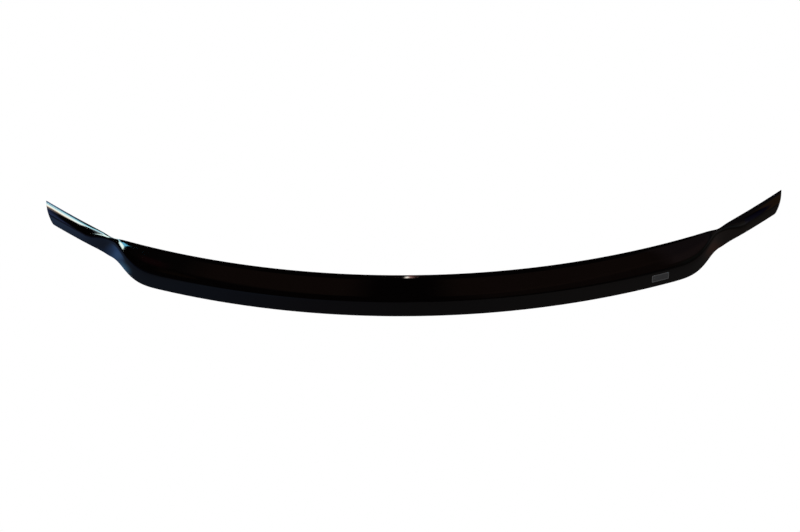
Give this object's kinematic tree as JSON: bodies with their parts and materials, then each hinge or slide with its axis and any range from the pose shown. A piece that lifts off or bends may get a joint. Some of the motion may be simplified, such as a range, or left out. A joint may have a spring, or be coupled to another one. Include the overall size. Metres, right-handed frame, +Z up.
{
  "type": "hood bug deflector",
  "caption": "Long bowed dark acrylic shield with a sloping blade, a creased lower flange and swept-back narrow tails, stuck along the front edge of a vehicle hood.",
  "frame": {"origin": "centre of the shield's outer box in plan, at the height of the lower edge of its front", "axes": "+X across the vehicle, -Y the side that faces the oncoming air, +Y towards the rear of the vehicle, +Z up"},
  "size_m": [1.4498, 0.2721, 0.075],
  "materials": {
    "shield_acrylic": "gloss, dark smoke, with flame-polished edges",
    "tape_foam": "matt closed-cell acrylic foam",
    "bumper_rubber": "satin moulded rubber",
    "liner_film": "thin satin release film",
    "badge_print": "flat grey print"
  },
  "bodies": {
    "root": {"shield": "shield_acrylic", "tape_right_inner": "tape_foam", "tape_right_middle": "tape_foam", "tape_right_outer": "tape_foam", "tape_right_tail": "tape_foam", "tape_left_inner": "tape_foam", "tape_left_middle": "tape_foam", "tape_left_outer": "tape_foam", "tape_left_tail": "tape_foam", "bumper_right_inner": "bumper_rubber", "bumper_right_middle": "bumper_rubber", "bumper_right_outer": "bumper_rubber", "bumper_left_inner": "bumper_rubber", "bumper_left_middle": "bumper_rubber", "bumper_left_outer": "bumper_rubber"}
  },
  "joints": []
}
